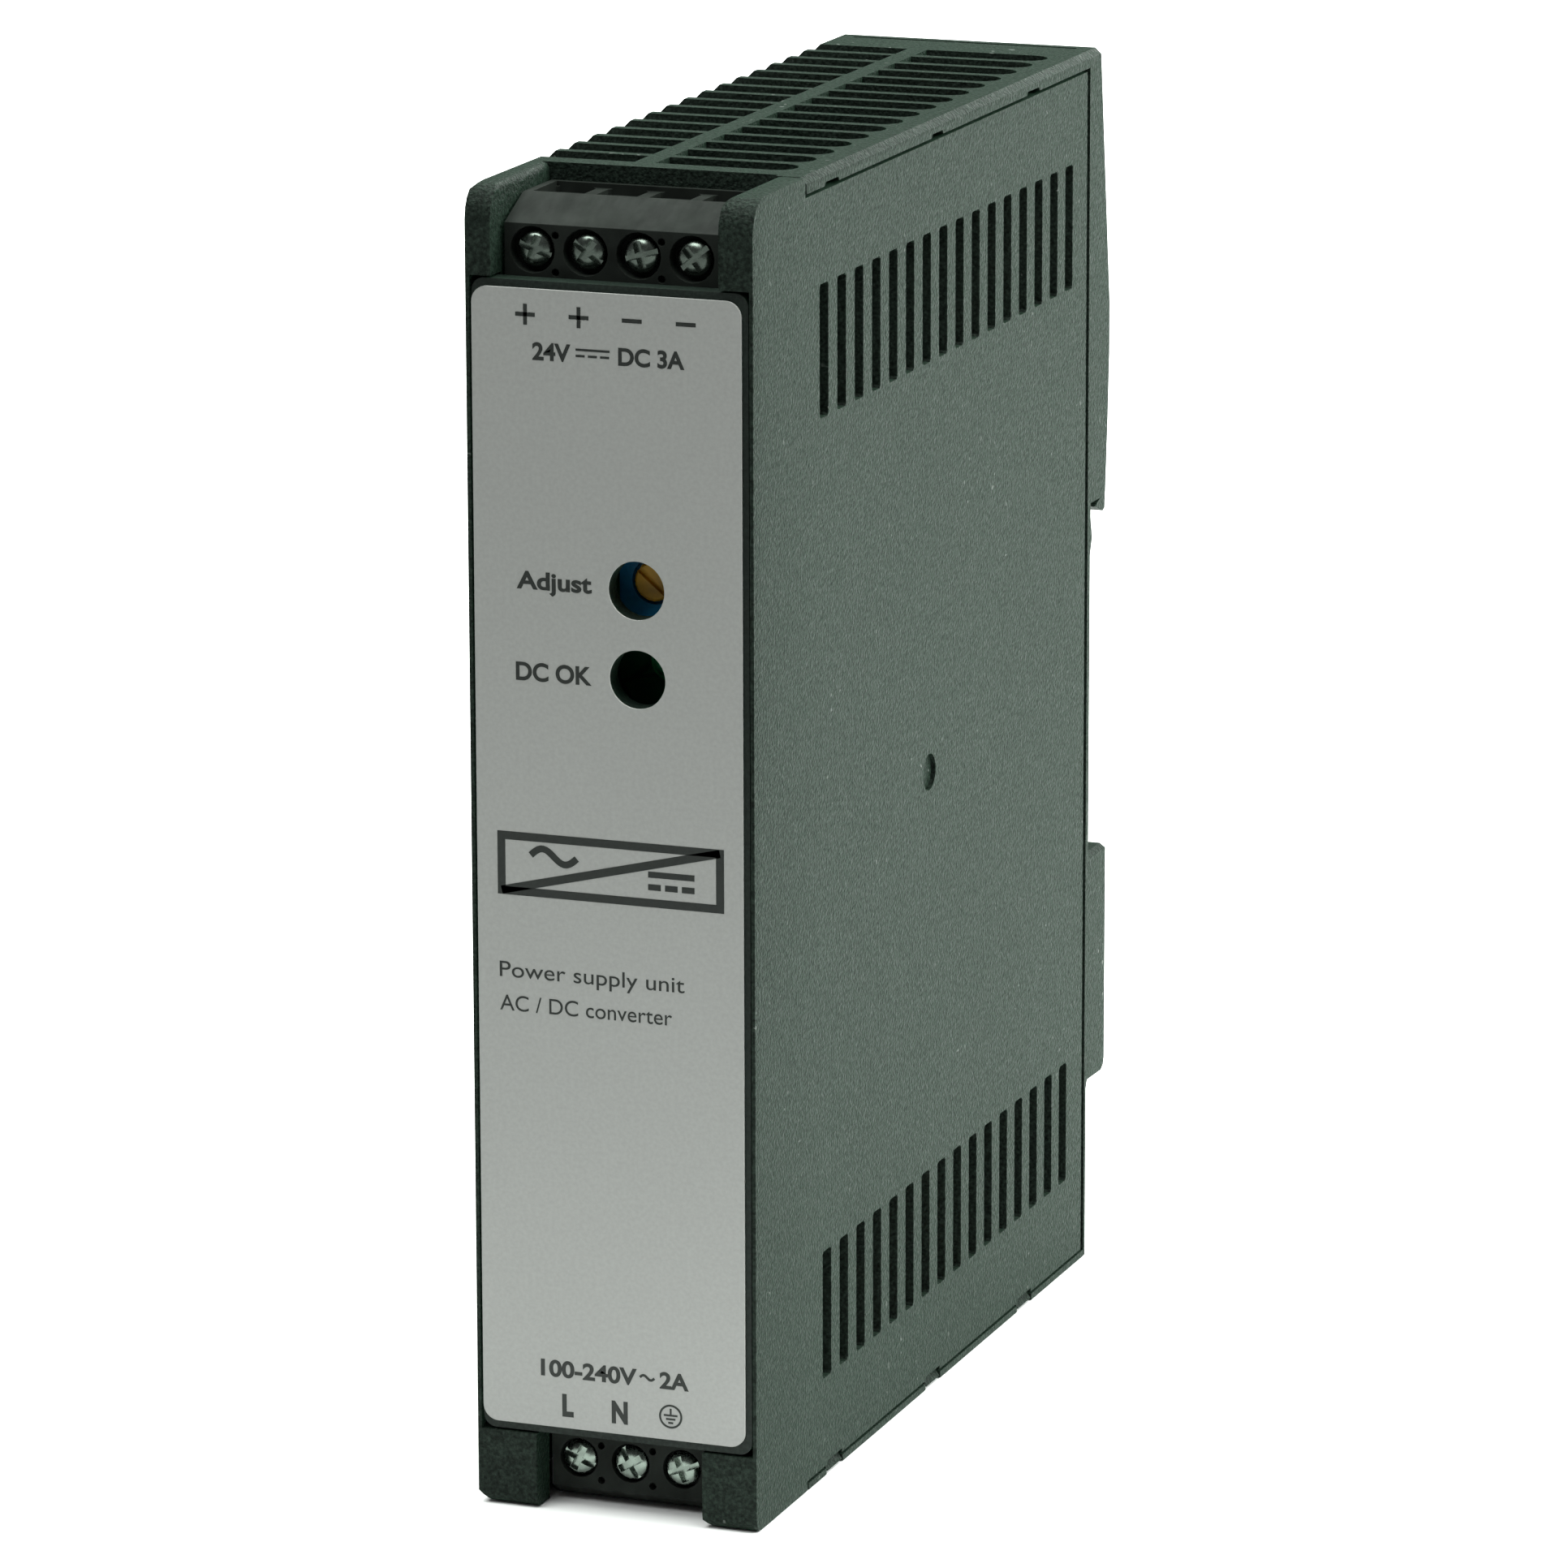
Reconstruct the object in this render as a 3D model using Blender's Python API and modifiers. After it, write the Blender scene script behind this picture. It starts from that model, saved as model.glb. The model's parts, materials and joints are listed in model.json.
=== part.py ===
"""DIN rail power supply, 27 mm wide: a vented plastic case with a clip-on side cover and front cover,
two screw terminal blocks, a spring latch for a 35 mm top-hat rail, and the circuit inside.

Lengths below are in millimetres and are turned into metres where objects are made.
x runs across the width (0 is the middle), d is the distance behind the front plane,
z is the height above the base. In the world d = 0 lies at y = -DEPTH / 2.
"""
import math

import bmesh
import bpy
from mathutils import Matrix, Vector

MM = 0.001

# Driving dimensions
WIDTH = 27.0
HEIGHT = 121.0
DEPTH = 98.4
HALF = WIDTH / 2
WALL = 1.5
GAP = 0.3
RAIL_PLANE = 92.8          # the rail's flanges rest on this plane
REAR_SEAM = 92.0           # the groove behind the side cover ends here
SIDE_REAR = 91.15          # the side cover ends here
COVER_Z = (7.2, 112.8)     # front cover, bottom and top
COVER_D = (0.45, 2.1)      # front cover, front and back face
TERMINAL_DEPTH = 14.0      # the terminal recesses end here
EAR_SEAM = 13.4            # behind the right ear and foot
VENT_COUNT = 16
POLE_PITCH = 5.0

# Terminal blocks: screw height, direction towards the outside, and each pole's x
OUTPUT_SCREW_Z = 115.1
OUTPUT_POLES = [-8.15 + POLE_PITCH * i for i in range(4)]
INPUT_SCREW_Z = 4.2
INPUT_POLES = [-4.85 + POLE_PITCH * i for i in range(3)]

# Front openings
ADJUST_X, ADJUST_Z = 2.45, 85.75
LED_X, LED_Z = 2.5, 77.75
PORT_RADIUS = 2.65


# ---------------------------------------------------------------- helpers

def clear_scene():
    for item in list(bpy.data.objects):
        bpy.data.objects.remove(item, do_unlink=True)


def collection(name):
    made = bpy.data.collections.new(name)
    bpy.context.scene.collection.children.link(made)
    return made


clear_scene()
PARTS = collection("din_rail_power_supply")
CUTTERS = collection("cutters")


def world(x, d, z):
    return Vector((x, d - DEPTH / 2, z)) * MM


def paint(item, colour, roughness=0.5, metallic=0.0):
    material = bpy.data.materials.new(item.name)
    material.use_nodes = True
    shader = material.node_tree.nodes["Principled BSDF"]
    shader.inputs["Base Color"].default_value = (*colour, 1.0)
    shader.inputs["Roughness"].default_value = roughness
    shader.inputs["Metallic"].default_value = metallic
    item.data.materials.clear()
    item.data.materials.append(material)


def place(name, mesh, location, cutter=False):
    item = bpy.data.objects.new(name, mesh)
    item.location = location
    (CUTTERS if cutter else PARTS).objects.link(item)
    if cutter:
        item.hide_render = True
        item.display_type = "WIRE"
    return item


def mesh_from(builder, name):
    """A mesh whose bmesh is filled in by builder."""
    shape = bmesh.new()
    builder(shape)
    bmesh.ops.recalc_face_normals(shape, faces=shape.faces)
    mesh = bpy.data.meshes.new(name)
    shape.to_mesh(mesh)
    shape.free()
    return mesh


def box(name, x, d, z, cutter=False):
    """Box between two corners; its origin is its centre."""
    size = Vector((x[1] - x[0], d[1] - d[0], z[1] - z[0])) * MM

    def build(shape):
        bmesh.ops.create_cube(shape, size=1.0)
        bmesh.ops.scale(shape, vec=size, verts=shape.verts)

    centre = world(sum(x) / 2, sum(d) / 2, sum(z) / 2)
    return place(name, mesh_from(build, name), centre, cutter)


AXIS_TURN = {
    "X": Matrix(((0, 0, 1), (1, 0, 0), (0, 1, 0))),
    "Y": Matrix(((1, 0, 0), (0, 0, -1), (0, 1, 0))),
    "Z": Matrix(((1, 0, 0), (0, 1, 0), (0, 0, 1))),
}


def prism(name, outlines, axis, low, high, cutter=False):
    """Filled outlines pushed along an axis; an outline inside another is a hole.

    Outline points are (d, z) for axis X, (x, z) for axis Y and (x, d) for axis Z.
    """
    curve = bpy.data.curves.new(name, "CURVE")
    curve.dimensions = "2D"
    curve.fill_mode = "BOTH"
    curve.extrude = (high - low) / 2 * MM
    for outline in outlines:
        spline = curve.splines.new("POLY")
        spline.points.add(len(outline) - 1)
        spline.use_cyclic_u = True
        for point, (a, b) in zip(spline.points, outline):
            point.co = (a * MM, b * MM, 0.0, 1.0)
    holder = bpy.data.objects.new(name + "_outline", curve)
    bpy.context.scene.collection.objects.link(holder)
    graph = bpy.context.evaluated_depsgraph_get()
    mesh = bpy.data.meshes.new_from_object(holder.evaluated_get(graph))
    bpy.data.objects.remove(holder, do_unlink=True)
    bpy.data.curves.remove(curve)
    mesh.name = name
    shape = bmesh.new()
    shape.from_mesh(mesh)
    bmesh.ops.remove_doubles(shape, verts=shape.verts, dist=0.00001)
    bmesh.ops.dissolve_degenerate(shape, edges=shape.edges, dist=0.00001)
    bmesh.ops.dissolve_limit(shape, angle_limit=0.005, verts=shape.verts, edges=shape.edges)
    bmesh.ops.transform(shape, matrix=AXIS_TURN[axis].to_4x4(), verts=shape.verts)
    bmesh.ops.recalc_face_normals(shape, faces=shape.faces)
    shape.to_mesh(mesh)
    shape.free()
    middle = (low + high) / 2
    centre = {"X": world(middle, 0, 0), "Y": world(0, middle, 0), "Z": world(0, 0, middle)}[axis]
    return place(name, mesh, centre, cutter)


def lathe(name, profile, axis_start, direction, steps=24, cutter=False):
    """Profile of (radius, height) points, top to bottom, turned about an axis.

    axis_start is the world point at height 0, direction is where the profile's height points.
    """
    def build(shape):
        ring = profile[0] == profile[-1]
        points = [shape.verts.new((radius * MM, 0.0, height * MM)) for radius, height in profile[ring:]]
        for first, second in zip(points, points[1:] + points[:ring]):
            shape.edges.new((first, second))

    item = place(name, mesh_from(build, name), axis_start, cutter)
    item.rotation_euler = direction.to_track_quat("Z", "Y").to_euler()
    turn = item.modifiers.new("turn", "SCREW")
    turn.axis = "Z"
    turn.steps = steps
    turn.render_steps = steps
    turn.use_merge_vertices = True
    turn.merge_threshold = 0.00001
    turn.use_smooth_shade = False
    return item


def cut(target, cutter):
    step = target.modifiers.new("cut_" + cutter.name, "BOOLEAN")
    step.operation = "DIFFERENCE"
    step.solver = "EXACT"
    step.object = cutter


def rounded(low, high, radius, steps=3):
    """Rectangle outline with rounded corners, from its low and high corner points."""
    points = []
    corners = [(high[0] - radius, low[1] + radius, -90), (high[0] - radius, high[1] - radius, 0),
               (low[0] + radius, high[1] - radius, 90), (low[0] + radius, low[1] + radius, 180)]
    for cx, cy, start in corners:
        for i in range(steps + 1):
            angle = math.radians(start + 90 * i / steps)
            points.append((cx + radius * math.cos(angle), cy + radius * math.sin(angle)))
    return points


def circle(cx, cy, radius, steps=24):
    return [(cx + radius * math.cos(2 * math.pi * i / steps),
             cy + radius * math.sin(2 * math.pi * i / steps)) for i in range(steps)]


def arc(cx, cy, radius, start, end, steps=5):
    return [(cx + radius * math.cos(math.radians(start + (end - start) * i / steps)),
             cy + radius * math.sin(math.radians(start + (end - start) * i / steps)))
            for i in range(steps + 1)]


REARWARD = Vector((0, 1, 0))
FORWARD = Vector((0, -1, 0))
UP = Vector((0, 0, 1))

CASE_GREY = (0.045, 0.055, 0.05)

# ---------------------------------------------------------------- case

EAR_RADIUS = 3.0
FOOT_RADIUS = 1.1
SIDE_TOP = 119.2
SIDE_BOTTOM = 0.9
LEFT_EAR_X = -11.1
RIGHT_EAR_X = 10.3
LEFT_FOOT_X = -7.8
RIGHT_FOOT_X = 8.25
BLOCK_TOP_Z = 41.1
HOOK_Z = 76.45


def vent_columns(first, pitch):
    """Front edge of each vent slot along the depth."""
    return [first + pitch * i for i in range(VENT_COUNT)]


def side_vents():
    slots = [rounded((d, 9.4), (d + 2.25, 21.5), 0.25, 1) for d in vent_columns(17.1, 4.47)]
    return slots + [rounded((d, 98.8), (d + 2.25, 110.9), 0.25, 1) for d in vent_columns(16.65, 4.53)]


TOP_SLOT = 3.45
TOP_COLUMNS = vent_columns(16.35, 4.56)


def top_slots():
    """Left slots run out through the left edge; right slots have a square and a round end."""
    slots = []
    radius = TOP_SLOT / 2
    for d in TOP_COLUMNS:
        slots.append([(-14.5, d), (-3.9, d), (-3.9, d + TOP_SLOT), (-14.5, d + TOP_SLOT)])
        slots.append([(-1.9, d)] + arc(10.95 - radius, d + radius, radius, -90, 90, 6)
                     + [(-1.9, d + TOP_SLOT)])
    return slots


def bottom_slots():
    slots = []
    for low, high in ((-11.8, -3.6), (-1.6, 10.9)):
        slots += [rounded((low, d), (high, d + 2.5), 1.2, 2) for d in vent_columns(16.9, 4.51)]
    return slots


# Outline of the case seen from the side, with the rail hook and the lower rail block
front_top = arc(EAR_RADIUS, HEIGHT - EAR_RADIUS, EAR_RADIUS, 90, 180)
front_bottom = arc(FOOT_RADIUS, FOOT_RADIUS, FOOT_RADIUS, 180, 270, 4)
rear_side = [
    (RAIL_PLANE - 0.3, 0.0), (RAIL_PLANE - 0.3, 17.2), (RAIL_PLANE + 0.1, 18.0), (97.2, 17.9),
    (97.9, 18.3), (98.15, 19.0), (98.15, BLOCK_TOP_Z - 0.5), (97.75, BLOCK_TOP_Z),
    (RAIL_PLANE, BLOCK_TOP_Z), (RAIL_PLANE, 71.3), (RAIL_PLANE + 0.6, 73.0), (RAIL_PLANE + 0.1, 75.0),
    (RAIL_PLANE + 0.1, HOOK_Z), (95.9, HOOK_Z), (94.25, HOOK_Z - 0.6), (96.65, 75.0), (97.2, 75.2),
    (97.45, 77.5), (98.0, 84.0), (DEPTH, 90.5), (DEPTH, 95.3), (95.25, HEIGHT),
]
housing = prism("main_housing", [front_top + front_bottom + rear_side], "X", -HALF, HALF)
paint(housing, CASE_GREY, 0.55)

inner_left = -HALF + WALL
OUTSIDE = HALF + 1.0
housing_cuts = [
    box("room_main", (inner_left, OUTSIDE), (15.5, REAR_SEAM - 0.5), (WALL, HEIGHT - WALL), True),
    box("room_front", (inner_left, OUTSIDE), (1.5, 16.0), (9.0, 112.0), True),
    box("pocket_front_cover", (-HALF + 0.35, OUTSIDE), (-1, 2.4), (7.0, 113.0), True),
    box("pocket_side_cover", (11.7, OUTSIDE), (-1, REAR_SEAM), (0.6, SIDE_TOP + 0.3), True),
    box("pocket_output_block", (LEFT_EAR_X, 10.6), (-1, TERMINAL_DEPTH), (104.0, 122.0), True),
    box("pocket_right_ear", (10.0, OUTSIDE), (-1, EAR_SEAM), (104.0, 122.0), True),
    box("pocket_input_block", (LEFT_FOOT_X, 10.6), (-1, TERMINAL_DEPTH), (-1.0, 17.0), True),
    box("pocket_right_foot", (10.0, OUTSIDE), (-1, EAR_SEAM), (-1.0, 17.0), True),
    box("hollow_left_foot", (inner_left, LEFT_FOOT_X + 1), (3.1, TERMINAL_DEPTH), (-1.0, 6.0), True),
    prism("vents_top", top_slots(), "Z", HEIGHT - WALL - 0.5, HEIGHT + 0.5, True),
    prism("vents_bottom", bottom_slots(), "Z", -0.5, WALL + 0.5, True),
    prism("vents_left", side_vents(), "X", -HALF - 0.5, inner_left + 0.5, True),
    box("groove_top_rear", (-11.6, 11.4), (93.7, 94.2), (HEIGHT - 0.35, HEIGHT + 1), True),
]
# Long top edges are eased; each cutter is a slim three-sided bar
EDGE = 0.6
for side in (-1, 1):
    corner = side * HALF
    outline = [(corner - side * EDGE, HEIGHT), (corner - side * EDGE, HEIGHT + 1),
               (corner + side * 1, HEIGHT + 1), (corner + side * 1, HEIGHT - EDGE),
               (corner, HEIGHT - EDGE)]
    name = "edge_right" if side > 0 else "edge_left"
    start = EAR_SEAM - 0.5 if side > 0 else -1.0
    housing_cuts.append(prism(name, [outline], "Y", start, DEPTH + 1, True))

# Inner top edge of the left ear, rounded along its depth
ear_edge = arc(LEFT_EAR_X - 0.8, HEIGHT - 0.8, 0.8, 0, 90)
ear_edge += [(LEFT_EAR_X - 0.8, HEIGHT + 1), (LEFT_EAR_X + 1, HEIGHT + 1), (LEFT_EAR_X + 1, HEIGHT - 0.8)]
housing_cuts.append(prism("edge_left_ear", [ear_edge], "Y", -1, TERMINAL_DEPTH, True))

# Lower left edge, and the side edges on top of the lower rail block
housing_cuts.append(prism("edge_lower_left", [[(-14.5, 2.1), (-14.5, -1.0), (-11.4, -1.0)]], "Y",
                          -1, DEPTH + 1, True))
for side in (-1, 1):
    outline = [(side * (HALF - 0.45), BLOCK_TOP_Z), (side * HALF, BLOCK_TOP_Z - 0.55),
               (side * (HALF + 1), BLOCK_TOP_Z - 0.55), (side * (HALF + 1), BLOCK_TOP_Z + 0.5),
               (side * (HALF - 0.45), BLOCK_TOP_Z + 0.5)]
    name = "edge_block_right" if side > 0 else "edge_block_left"
    housing_cuts.append(prism(name, [outline], "Y", RAIL_PLANE + 0.02, DEPTH + 1, True))

# Snap joints between the case and the side cover: a long window above, a notch below
SNAPS_TOP = [(18.1, 21.7), (46.3, 49.4), (73.2, 76.8)]
SNAPS_BOTTOM = [(18.4, 22.1), (45.4, 49.0), (72.0, 75.75)]
SNAPS_REAR = [(21.3, 24.7), (58.5, 62.0), (96.0, 99.0)]
housing_cuts.append(prism("snap_windows", [rounded((a, 119.0), (b, 119.85), 0.2, 1)
                                           for a, b in SNAPS_TOP], "X", 12.7, OUTSIDE, True))
housing_cuts.append(prism("snap_notches", [rounded((a - 0.3, -0.5), (b + 0.3, 1.0), 0.2, 1)
                                           for a, b in SNAPS_BOTTOM], "X", 11.7, OUTSIDE, True))

# Channel of the rail latch in the lower block, with retaining lips and a post for the spring
LATCH_HALF = 6.7
SPRING_POST_Z = (22.0, 24.0)
housing_cuts.append(prism("latch_channel", [
    rounded((-LATCH_HALF - GAP, 15.0), (LATCH_HALF + GAP, 42.0), 0.3, 1),
    rounded((-2.0, SPRING_POST_Z[0]), (2.0, SPRING_POST_Z[1]), 0.2, 1)], "Y", 93.2, 96.7, True))
housing_cuts.append(box("latch_channel_mouth", (-5.0, 5.0), (96.2, DEPTH + 1), (15.0, 42.0), True))
for cutter in housing_cuts:
    cut(housing, cutter)

# Side cover: one plate with the right ear above and the right foot below
TAB_Z = 0.25
side_outline = (front_top + front_bottom
                + [(EAR_SEAM - GAP, 0.0), (EAR_SEAM - GAP, TAB_Z), (REAR_SEAM - GAP, TAB_Z),
                   (REAR_SEAM - GAP, SIDE_TOP), (EAR_SEAM - GAP, SIDE_TOP), (EAR_SEAM - GAP, HEIGHT)])
between_tabs = []
start = EAR_SEAM - GAP
for a, b in SNAPS_BOTTOM + [(DEPTH, DEPTH)]:
    between_tabs.append([(start, -1.0), (a, -1.0), (a, SIDE_BOTTOM), (start, SIDE_BOTTOM)])
    start = b
behind_side = []
start = -1.0
for a, b in SNAPS_REAR + [(HEIGHT + 1, HEIGHT + 1)]:
    behind_side.append([(SIDE_REAR, start), (DEPTH, start), (DEPTH, a), (SIDE_REAR, a)])
    start = b
side_cover = prism("side_cover", [side_outline], "X", RIGHT_FOOT_X, HALF)
paint(side_cover, CASE_GREY, 0.55)
plate_inner = HALF - WALL
side_cuts = [
    box("side_inside", (0, plate_inner), (EAR_SEAM - GAP, DEPTH), (-1, 122), True),
    box("side_middle", (0, plate_inner), (-1, DEPTH), (7.0, 113.0), True),
    box("side_over_ear", (0, RIGHT_EAR_X), (-1, DEPTH), (100, 122), True),
    box("side_cover_rebate", (0, HALF - 0.35), (-1, 2.4), (7.0, 113.0), True),
    prism("vents_right", side_vents(), "X", plate_inner - 0.5, HALF + 0.5, True),
    prism("side_between_tabs", between_tabs, "X", RIGHT_FOOT_X - 1, HALF + 1, True),
    prism("side_rear_edge", behind_side, "X", RIGHT_FOOT_X - 1, HALF + 1, True),
    box("side_rear_step", (HALF - 0.3, HALF + 1), (SIDE_REAR, DEPTH), (-1, 122), True),
    lathe("side_dimple", [(0, 0.5), (1.75, 0.5), (1.75, -0.45), (0, -0.45)],
          world(HALF, 45.9, 60.0), Vector((1, 0, 0)), 20, True),
    prism("foot_corner", [[(RIGHT_FOOT_X - 1, -1), (RIGHT_FOOT_X + 1.94, -1),
                           (RIGHT_FOOT_X - 1, 1.575)]], "Y", -1, 15, True),
    prism("edge_right_ear", [arc(RIGHT_EAR_X + 1.0, HEIGHT - 1.0, 1.0, 90, 180)
                             + [(RIGHT_EAR_X - 1, HEIGHT - 1.0), (RIGHT_EAR_X - 1, HEIGHT + 1),
                                (RIGHT_EAR_X + 1.0, HEIGHT + 1)]], "Y", -1, 15, True),
]
for number, (a, b) in enumerate(SNAPS_BOTTOM):
    ramp = [(HALF, 0.3), (HALF + 1, 0.3), (HALF + 1, 1.25), (HALF - 0.65, 1.25)]
    side_cuts.append(prism(f"side_ramp_{number}", [ramp], "Y", a - 0.1, b + 0.1, True))
for cutter in side_cuts:
    cut(side_cover, cutter)

# Front cover with its two ports, and the label on it
ports = [circle(ADJUST_X, ADJUST_Z, PORT_RADIUS), circle(LED_X, LED_Z, PORT_RADIUS)]
cover_half = HALF - 0.5
front_cover = prism("front_cover", [rounded((-cover_half, COVER_Z[0]), (cover_half, COVER_Z[1]), 1.0)]
                    + ports, "Y", *COVER_D)
paint(front_cover, (0.02, 0.024, 0.022), 0.5)
label = prism("front_label", [rounded((-12.95, 7.9), (12.4, 112.1), 1.4)] + ports, "Y", 0.0, 0.2)
paint(label, (0.3, 0.31, 0.29), 0.45)

# ---------------------------------------------------------------- rail latch

LATCH_TRAVEL = 4.0
latch = prism("rail_latch", [[
    (93.5, 5.0), (93.5, 40.2), (94.2, 40.2), (94.2, 42.8), (94.8, 42.8), (96.4, 41.0), (96.4, 5.0),
]], "X", -LATCH_HALF, LATCH_HALF)
paint(latch, (0.03, 0.03, 0.032), 0.45)
WINDOW_Z = (16.5, 34.0)
latch_cuts = [
    prism("latch_window", [rounded((-2.4, WINDOW_Z[0]), (2.4, WINDOW_Z[1]), 0.4, 1)], "Y", 93, 97, True),
    prism("latch_tool_slot", [rounded((-3.2, 7.0), (3.2, 9.2), 0.5, 2)], "Y", 93, 97, True),
    box("latch_neck_left", (-8.0, -4.6), (93, 97), (4, 13.0), True),
    box("latch_neck_right", (4.6, 8.0), (93, 97), (4, 13.0), True),
]
for cutter in latch_cuts:
    cut(latch, cutter)


def coil(name, x, d, low, high, radius, wire, turns, per_turn=10):
    """Compression spring along z."""
    curve = bpy.data.curves.new(name, "CURVE")
    curve.dimensions = "3D"
    curve.bevel_depth = wire / 2 * MM
    curve.bevel_resolution = 2
    curve.use_fill_caps = True
    spline = curve.splines.new("POLY")
    count = int(turns * per_turn)
    spline.points.add(count)
    for i, point in enumerate(spline.points):
        angle = 2 * math.pi * i / per_turn
        rise = (high - low - wire) * i / count
        point.co = (radius * math.cos(angle) * MM, radius * math.sin(angle) * MM, rise * MM, 1.0)
    holder = bpy.data.objects.new(name + "_path", curve)
    bpy.context.scene.collection.objects.link(holder)
    graph = bpy.context.evaluated_depsgraph_get()
    mesh = bpy.data.meshes.new_from_object(holder.evaluated_get(graph))
    bpy.data.objects.remove(holder, do_unlink=True)
    shape = bmesh.new()
    shape.from_mesh(mesh)
    bmesh.ops.remove_doubles(shape, verts=shape.verts, dist=0.00001)
    bmesh.ops.recalc_face_normals(shape, faces=shape.faces)
    shape.to_mesh(mesh)
    shape.free()
    mesh.name = name
    return place(name, mesh, world(x, d, low + wire / 2))


spring = coil("latch_spring", 0.0, 94.95, SPRING_POST_Z[1] + 0.1, WINDOW_Z[1] - 0.1, 1.05, 0.35, 6)
paint(spring, (0.6, 0.6, 0.6), 0.3, 1.0)

# ---------------------------------------------------------------- terminal blocks

BLOCK_BACK = 13.7
SHOULDER = 4.0             # the screw head bears on this ledge
CAGE_TRAVEL = 2.0


def terminal_block(name, poles, screw_z, out, face, slope, well, dimple_pairs):
    """Moulded block; out is +1 when the wires enter from above, -1 from below.

    face is its front plane, slope the (height, depth, height) of the eased edge on the wire side,
    and well the radius of the screw wells.
    """
    def z(u):
        return screw_z + out * u

    def span(low, high):
        return min(z(low), z(high)), max(z(low), z(high))

    def slots(half, low, high, radius):
        bottom, top = span(low, high)
        return [rounded((x - half, bottom), (x + half, top), radius, 1) for x in poles]

    start, depth, rim = slope
    profile = [(face, z(-9.0)), (face, z(start)), (depth, z(rim)), (BLOCK_BACK, z(rim)),
               (BLOCK_BACK, z(-9.0))]
    block = prism(name, [profile], "X", poles[0] - 2.65, poles[-1] + 2.65)
    paint(block, (0.012, 0.013, 0.012), 0.4)
    wells = [circle(x, screw_z, well, 20) for x in poles]
    bores = [circle(x, screw_z, 1.45, 12) for x in poles]
    funnels = [rounded((x - 1.92, 7.5), (x + 1.92, 13.2), 0.3, 1) for x in poles]
    throats = [rounded((x - 1.45, 8.3), (x + 1.45, 12.6), 0.3, 1) for x in poles]
    dimples = []
    for first in dimple_pairs:
        middle = (poles[first] + poles[first + 1]) / 2 - 0.35
        dimples += [circle(middle, screw_z - 0.3 + offset, 0.36, 8) for offset in (-1.65, 1.65)]
    for cutter in (
        prism(name + "_rooms", slots(2.15, -8.2, 2.6, 0.3), "Y", 4.6, 13.2, True),
        prism(name + "_wells", wells, "Y", 1.0, SHOULDER, True),
        prism(name + "_bores", bores, "Y", SHOULDER - 0.5, 5.0, True),
        prism(name + "_exits", slots(1.0, -7.8, -6.3, 0.2), "Y", 12.8, 15.0, True),
        prism(name + "_throats", throats, "Z", *span(2.0, 5.5), True),
        prism(name + "_funnels", funnels, "Z", *span(rim - 1.0, 5.5), True),
        prism(name + "_dimples", dimples, "Y", 1.0, face + 0.9, True),
        box(name + "_sill", (poles[0] - 1.92, poles[-1] + 1.92), (7.5, 13.2), span(rim - 0.45, 5.5), True),
    ):
        cut(block, cutter)
    return block


terminal_block("output_terminal_housing", OUTPUT_POLES, OUTPUT_SCREW_Z, 1,
               2.6, (2.3, 7.0, 4.35), 2.1, (0, 2))
terminal_block("input_terminal_housing", INPUT_POLES, INPUT_SCREW_Z, -1,
               3.0, (2.8, 4.6, 3.95), 1.85, (0, 1))


def terminal_screw(name, x, z, turn):
    """Pan head with a slot and a cross, on a shank that ends at the contact bar."""
    head = 1.6
    profile = [(0, 1.15), (0.9, 1.12), (1.35, 0.98), (head, 0.7), (head, 0.0), (1.2, 0.0),
               (1.2, -4.1), (0.9, -4.35), (0, -4.35)]
    screw = lathe(name, profile, world(x, SHOULDER - 0.1, z), FORWARD, 16)
    paint(screw, (0.62, 0.62, 0.58), 0.35, 1.0)
    for part, (length, width) in enumerate(((4.4, 0.5), (2.4, 0.7))):
        bar = box(f"{name}_recess_{part}", (x - length / 2, x + length / 2), (0, SHOULDER - 0.65),
                  (z - width / 2, z + width / 2), True)
        bar.rotation_euler = (0, math.radians(turn + 90 * part), 0)
        cut(screw, bar)
    return screw


def clamp_cage(name, x, screw_z, out):
    """Square cage that the screw draws towards the front; the wire passes through it along z."""
    def z(u):
        return screw_z + out * u

    low, high = sorted((z(-2.3), z(2.3)))
    cage = box(name, (x - 1.95, x + 1.95), (7.2, 13.0), (low, high))
    paint(cage, (0.7, 0.68, 0.6), 0.35, 1.0)
    cut(cage, box(name + "_window", (x - 1.45, x + 1.45), (8.4, 12.2), (low - 1, high + 1), True))
    cut(cage, prism(name + "_thread", [circle(x, screw_z, 1.35, 12)], "Y", 6, 8.8, True))
    return cage


def contact_pin(name, x, screw_z, out):
    """Bar inside the cage, bent back into a solder pin."""
    def z(u):
        return screw_z + out * u

    outline = [(8.7, z(2.2)), (9.5, z(2.2)), (9.5, z(-6.6)), (18.2, z(-6.6)), (18.2, z(-7.5)),
               (8.7, z(-7.5))]
    pin = prism(name, [outline], "X", x - 0.65, x + 0.65)
    paint(pin, (0.7, 0.66, 0.55), 0.3, 1.0)
    return pin


SCREW_TURNS = {"output": [20, 35, -15, -40], "input": [25, 60, -20]}
for side, poles, screw_z, out in (("output", OUTPUT_POLES, OUTPUT_SCREW_Z, 1),
                                  ("input", INPUT_POLES, INPUT_SCREW_Z, -1)):
    for number, x in enumerate(poles, 1):
        terminal_screw(f"{side}_screw_{number}", x, screw_z, SCREW_TURNS[side][number - 1])
        clamp_cage(f"{side}_clamp_{number}", x, screw_z, out)
        contact_pin(f"{side}_contact_{number}", x, screw_z, out)

# ---------------------------------------------------------------- circuit boards

BOARD_GREEN = (0.02, 0.12, 0.05)
main_board = box("main_board", (-10.6, -9.0), (18.8, 89.5), (4.0, 117.0))
paint(main_board, BOARD_GREEN, 0.4)
film = box("insulation_film", (-11.6, -11.3), (18.2, 90.2), (3.0, 118.0))
paint(film, (0.6, 0.6, 0.55), 0.3)

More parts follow.
